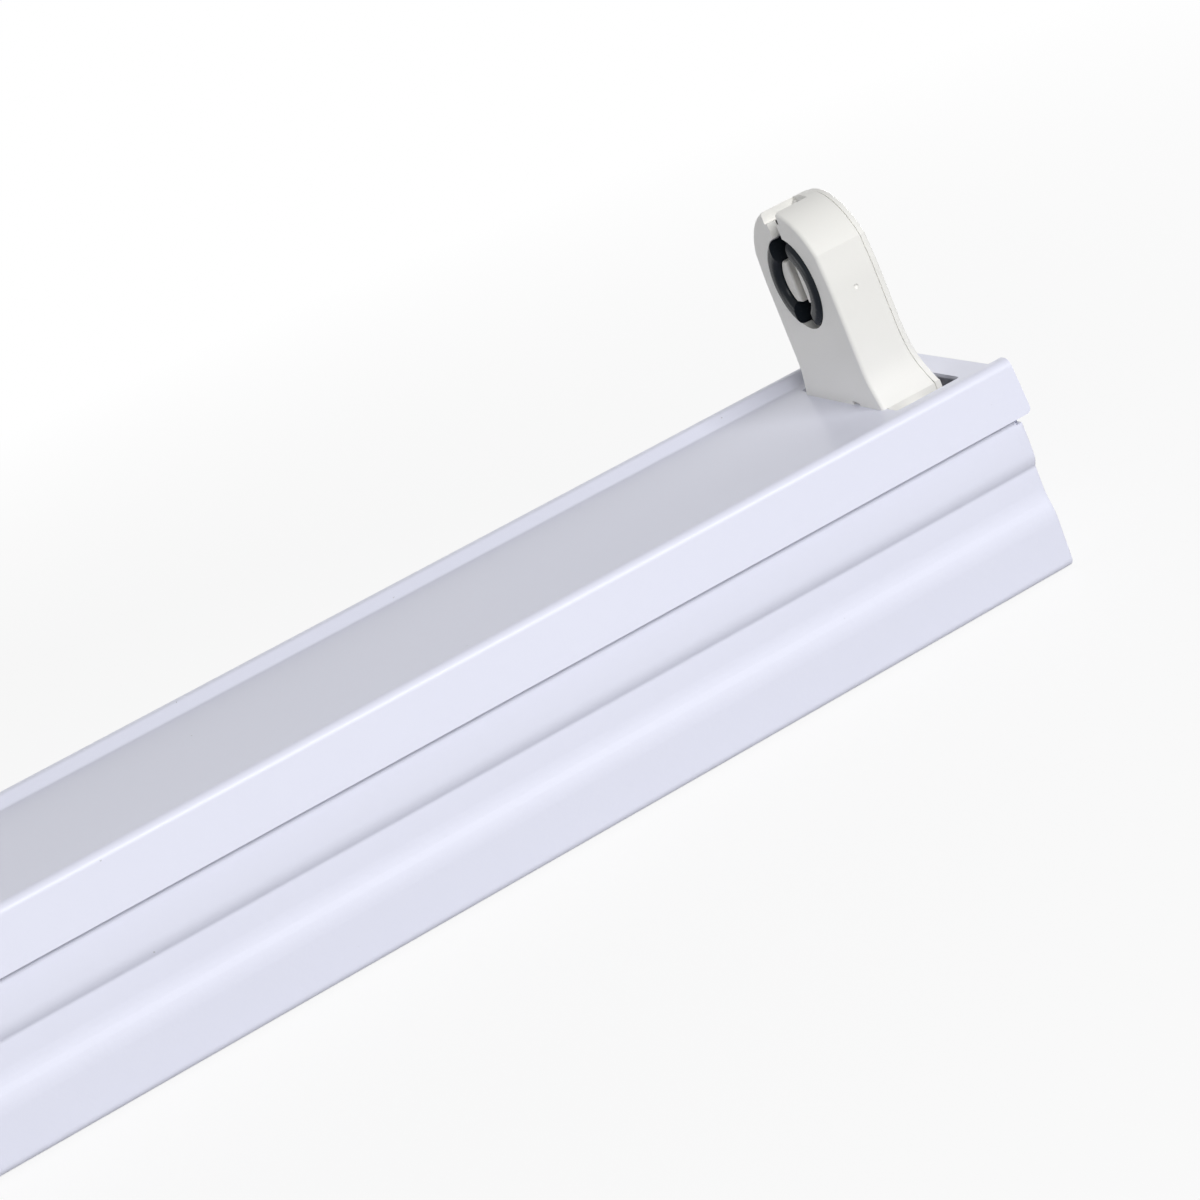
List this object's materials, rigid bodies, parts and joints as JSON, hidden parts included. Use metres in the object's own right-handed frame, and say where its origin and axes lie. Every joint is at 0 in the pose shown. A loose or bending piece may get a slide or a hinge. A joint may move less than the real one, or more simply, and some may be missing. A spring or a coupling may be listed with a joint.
{
  "type": "fluorescent light fixture",
  "caption": "Single-lamp batten light fixture: white sheet-steel channel with a lift-off lamp tray and a turn-lock lampholder at each end.",
  "frame": {"origin": "middle of the ceiling face, which the fixture lies on as pictured", "axes": "+X along the lamp towards the pictured end, +Y across the body away from the camera, +Z from the ceiling face to the lamp side"},
  "size_m": [0.6358, 0.07, 0.0855],
  "materials": {
    "white_paint": "gloss powder coat, cool white",
    "holder_white": "moulded, warm white",
    "ring_grey": "moulded, dark slate grey",
    "core_white": "moulded, pale warm grey",
    "contact_brass": "bright spring strip",
    "zinc_steel": "zinc plated",
    "black_rubber": "moulded",
    "ballast_metal": "satin sheet",
    "terminal_plastic": "moulded, pale",
    "clip_nylon": "natural nylon",
    "lead_brown": "insulation",
    "lead_blue": "insulation",
    "lead_green": "insulation",
    "lead_white": "insulation"
  },
  "bodies": {
    "base": {"base_channel": "white_paint", "end_plate_right": "white_paint", "end_plate_left": "white_paint", "cable_bush": "black_rubber", "bridge": "zinc_steel", "bridge_nut": "zinc_steel"},
    "cover": {"lamp_tray": "white_paint", "lampholder_housing_right": "holder_white", "lampholder_back_right": "holder_white", "lampholder_housing_left": "holder_white", "lampholder_back_left": "holder_white", "lampholder_contacts_right": "contact_brass", "lampholder_contacts_left": "contact_brass", "ballast_studs": "zinc_steel", "ballast_nuts": "zinc_steel", "block_screws": "zinc_steel", "block_stud": "zinc_steel", "earth_stud": "zinc_steel", "earth_tag": "zinc_steel", "earth_nut": "zinc_steel", "ballast_case": "ballast_metal", "ballast_plate": "ballast_metal", "ballast_supply_terminal": "terminal_plastic", "ballast_lamp_terminal": "terminal_plastic", "terminal_block": "terminal_plastic", "lead_clips": "clip_nylon", "supply_lead_live": "lead_brown", "supply_lead_neutral": "lead_blue", "earth_lead": "lead_green", "lamp_lead_right_far": "lead_white", "lamp_lead_right_near": "lead_white", "lamp_lead_left_far": "lead_white", "lamp_lead_left_near": "lead_white"},
    "screw": {"cover_screw": "zinc_steel", "screw_retainer": "clip_nylon"},
    "rotor_right": {"rotor_ring_right": "ring_grey", "rotor_core_right": "core_white"},
    "rotor_left": {"rotor_ring_left": "ring_grey", "rotor_core_left": "core_white"}
  },
  "joints": [
    {"name": "cover_lift", "type": "slide", "parent": "base", "child": "cover", "axis": [0, 0, 1], "range_m": [0, 0.06]},
    {"name": "cover_screw_turn", "type": "hinge", "parent": "cover", "child": "screw", "pos_m": [0, 0, 0.042], "axis": [0, 0, 1], "continuous": true},
    {"name": "ring_turn_right", "type": "hinge", "parent": "cover", "child": "rotor_right", "pos_m": [0.296, 0, 0.0697], "axis": [1, 0, 0], "range_deg": [0, 90]},
    {"name": "ring_turn_left", "type": "hinge", "parent": "cover", "child": "rotor_left", "pos_m": [-0.296, 0, 0.0697], "axis": [1, 0, 0], "range_deg": [0, 90]}
  ]
}
